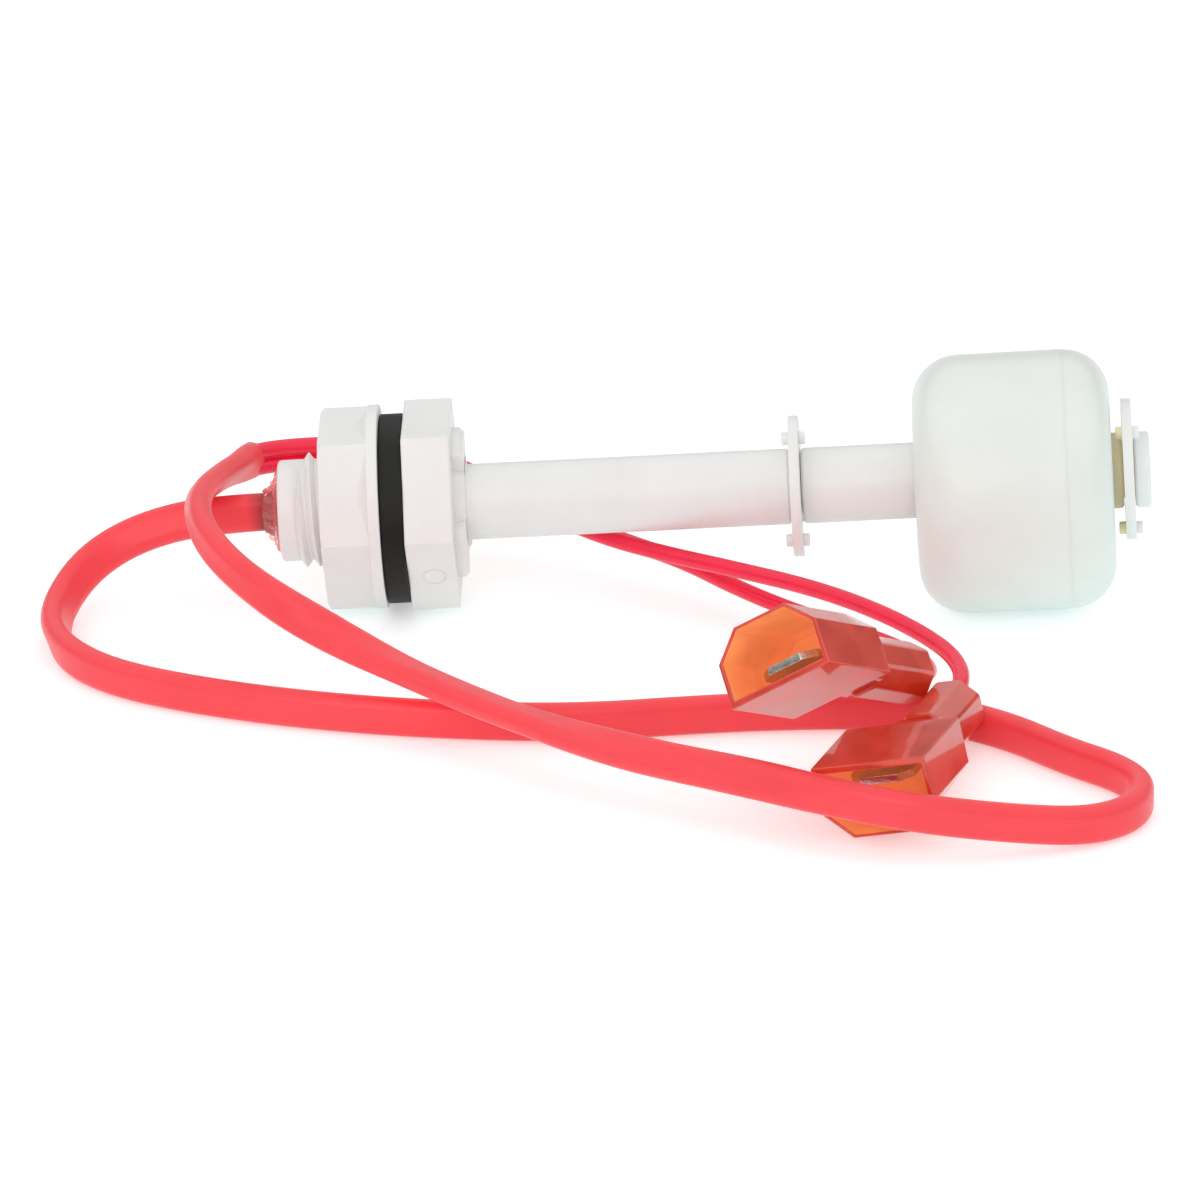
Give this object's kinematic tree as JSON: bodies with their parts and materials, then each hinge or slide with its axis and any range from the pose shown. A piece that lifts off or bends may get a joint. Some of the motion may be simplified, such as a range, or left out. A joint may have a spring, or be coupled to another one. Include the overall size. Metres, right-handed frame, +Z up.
{
  "type": "float level switch",
  "caption": "Float level switch: hollow cylindrical float sliding on a threaded plastic stem, with hex flange, gasket, locknut, red sleeved leads and insulated tab terminals.",
  "frame": {"origin": "bottom centre of the box of the switch without its cord, on the surface that it lies on", "axes": "+X along the stem towards the float, +Z up, -Y towards the terminals"},
  "size_m": [0.1079, 0.0759, 0.0257],
  "materials": {
    "white_polypropylene": "moulded natural white polypropylene",
    "float_polypropylene": "semi-matte natural polypropylene with a faint cool cast",
    "ferrite": "sintered ferrite",
    "gasket_rubber": "die-cut black nitrile rubber",
    "reed_glass": "clear green glass tube",
    "reed_metal": "plated nickel-iron",
    "tinned_copper": "tinned copper",
    "lead_insulation": "glossy crimson wire insulation",
    "potting_resin": "cast epoxy",
    "clear_glue": "clear hot-melt glue",
    "sleeve_silicone": "satin coral red sleeve",
    "terminal_nylon": "moulded red-amber nylon, slightly translucent",
    "tinned_brass": "tin-plated brass strip"
  },
  "bodies": {
    "switch": {"stem_body": "white_polypropylene", "mid_clip": "white_polypropylene", "end_clip": "white_polypropylene", "reed_capsule": "reed_glass", "reed_blade_a": "reed_metal", "reed_blade_b": "reed_metal", "splice_sleeve": "tinned_copper", "splice_bridge": "tinned_copper", "inner_wire_a": "lead_insulation", "inner_wire_b": "lead_insulation", "potting_plug": "potting_resin", "glue_bead": "clear_glue", "cable_sleeve": "sleeve_silicone", "lead_a": "lead_insulation", "lead_b": "lead_insulation", "housing_a": "terminal_nylon", "housing_b": "terminal_nylon", "tab_a": "tinned_brass", "tab_b": "tinned_brass"},
    "float": {"float_shell": "float_polypropylene", "float_cap": "float_polypropylene", "float_magnet": "ferrite"},
    "gasket": {"gasket": "gasket_rubber"},
    "locknut": {"locknut": "white_polypropylene"}
  },
  "joints": [
    {"name": "float_slide", "type": "slide", "parent": "switch", "child": "float", "axis": [-0.9984, 0, -0.056], "range_m": [0, 0.0104]},
    {"name": "gasket_slide", "type": "slide", "parent": "switch", "child": "gasket", "axis": [-0.9984, 0, -0.056], "range_m": [0, 0.0043]},
    {"name": "locknut_turn", "type": "hinge", "parent": "gasket", "child": "locknut", "pos_m": [-0.03465, 0, 0.00982], "axis": [-0.9984, 0, -0.056], "range_deg": [0, 1215]}
  ],
  "couplings": [
    {"joint": "gasket_slide", "follows": "locknut_turn", "m_per_rad": 0.00020213}
  ]
}
